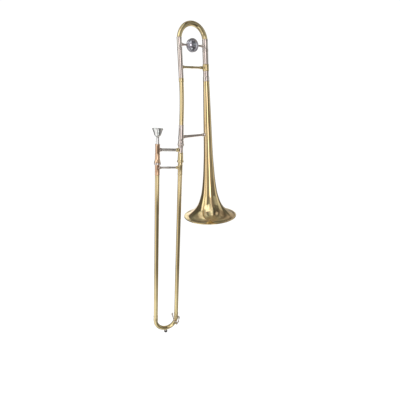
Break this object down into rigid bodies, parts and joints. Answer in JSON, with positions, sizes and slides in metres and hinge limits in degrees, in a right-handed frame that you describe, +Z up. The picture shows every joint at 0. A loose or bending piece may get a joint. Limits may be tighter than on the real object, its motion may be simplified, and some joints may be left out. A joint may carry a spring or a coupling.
{
  "type": "tenor trombone",
  "caption": "Slide trombone with a flared bell, tuning slide with round counterweight, neck joint and lock nut, U-shaped playing slide with water key, and cup mouthpiece.",
  "frame": {"origin": "on the bell's axis in its throat, 96 mm above the rim plane, where a stand's cone carries the instrument", "axes": "+Z up along the playing slide, +X from the neckpipe towards the bell in the bell section's plane, -Y towards the front"},
  "size_m": [0.3586, 0.214, 1.1898],
  "materials": {
    "lacquered_brass": "polished yellow brass under clear gold lacquer",
    "rose_brass": "polished rose brass under clear lacquer",
    "nickel_silver": "polished nickel silver",
    "chrome_plate": "mirror chrome plate on a brass tube",
    "silver_plate": "polished silver plate",
    "steel": "bright steel",
    "felt": "dark felt ring",
    "cork": "natural cork",
    "black_rubber": "matte black rubber"
  },
  "bodies": {
    "bell_section": {"bell": "lacquered_brass", "bell_rim_wire": "steel", "neck_tuning_sleeve": "nickel_silver", "neck_tuning_ferrule": "lacquered_brass", "bell_tuning_sleeve": "nickel_silver", "bell_tuning_ferrule": "nickel_silver", "neckpipe": "lacquered_brass", "neck_tenon": "nickel_silver", "upper_bell_brace": "lacquered_brass", "upper_brace_neck_foot": "lacquered_brass", "upper_brace_bell_socket": "lacquered_brass", "lower_bell_brace": "nickel_silver", "lower_brace_neck_foot": "nickel_silver", "lower_brace_bell_socket": "nickel_silver"},
    "tuning_slide": {"tuning_bow": "lacquered_brass", "neck_side_tuning_leg": "nickel_silver", "bell_side_tuning_leg": "nickel_silver", "neck_side_bow_ferrule": "nickel_silver", "bell_side_bow_ferrule": "nickel_silver", "tuning_brace": "nickel_silver", "counterweight_front": "nickel_silver", "counterweight_back": "nickel_silver", "counterweight_screw": "steel"},
    "lock_nut": {"bell_lock_nut": "nickel_silver"},
    "inner_slide": {"slide_receiver": "nickel_silver", "mouthpiece_receiver": "rose_brass", "leadpipe": "rose_brass", "neck_side_cork_barrel": "lacquered_brass", "mouthpiece_side_cork_barrel": "rose_brass", "neck_side_inner_tube": "chrome_plate", "mouthpiece_side_inner_tube": "chrome_plate", "neck_side_stocking": "chrome_plate", "mouthpiece_side_stocking": "chrome_plate", "neck_side_cork": "felt", "mouthpiece_side_cork": "felt", "upper_hand_brace": "nickel_silver", "hand_brace_neck_flange": "lacquered_brass", "hand_brace_mouthpiece_flange": "nickel_silver"},
    "mouthpiece": {"mouthpiece": "silver_plate"},
    "slide_lock": {"slide_lock_ring": "nickel_silver"},
    "outer_slide": {"neck_side_outer_tube": "lacquered_brass", "mouthpiece_side_outer_tube": "lacquered_brass", "neck_side_top_sleeve": "lacquered_brass", "mouthpiece_side_top_sleeve": "rose_brass", "neck_side_crook_ferrule": "lacquered_brass", "mouthpiece_side_crook_ferrule": "lacquered_brass", "lower_hand_brace": "nickel_silver", "lower_brace_neck_flange": "lacquered_brass", "lower_brace_mouthpiece_flange": "nickel_silver", "slide_crook": "lacquered_brass", "water_key_nipple": "lacquered_brass", "water_key_saddle": "nickel_silver", "water_key_pivot_screw": "steel", "water_key_spring": "steel", "bumper_cup": "nickel_silver", "rubber_bumper": "black_rubber"},
    "water_key": {"water_key_lever": "nickel_silver", "water_key_cork": "cork"}
  },
  "joints": [
    {"name": "tuning_slide_pull", "type": "slide", "parent": "bell_section", "child": "tuning_slide", "axis": [-0.0958, 0, 0.9954], "range_m": [0, 0.06]},
    {"name": "lock_nut_turn", "type": "hinge", "parent": "bell_section", "child": "lock_nut", "pos_m": [-0.13998, 0, 0.19573], "axis": [0, 0, 1], "range_deg": [0, 720]},
    {"name": "slide_section_swivel", "type": "hinge", "parent": "bell_section", "child": "inner_slide", "pos_m": [-0.13998, 0, 0.18573], "axis": [0, 0, 1], "range_deg": [-105, 130]},
    {"name": "mouthpiece_pull", "type": "slide", "parent": "inner_slide", "child": "mouthpiece", "axis": [0, 0, 1], "range_m": [0, 0.05]},
    {"name": "slide_lock_turn", "type": "hinge", "parent": "inner_slide", "child": "slide_lock", "pos_m": [-0.22357, 0.02022, 0.12173], "axis": [0, 0, 1], "range_deg": [-32, 0]},
    {"name": "playing_slide", "type": "slide", "parent": "inner_slide", "child": "outer_slide", "axis": [0, 0, -1], "range_m": [0, 0.585]},
    {"name": "water_key_hinge", "type": "hinge", "parent": "outer_slide", "child": "water_key", "pos_m": [-0.12699, -0.00314, -0.52621], "axis": [-0.2351, -0.972, 0], "range_deg": [0, 18], "stiffness_Nm_per_rad": 0.03, "springref_deg": -28.65}
  ]
}
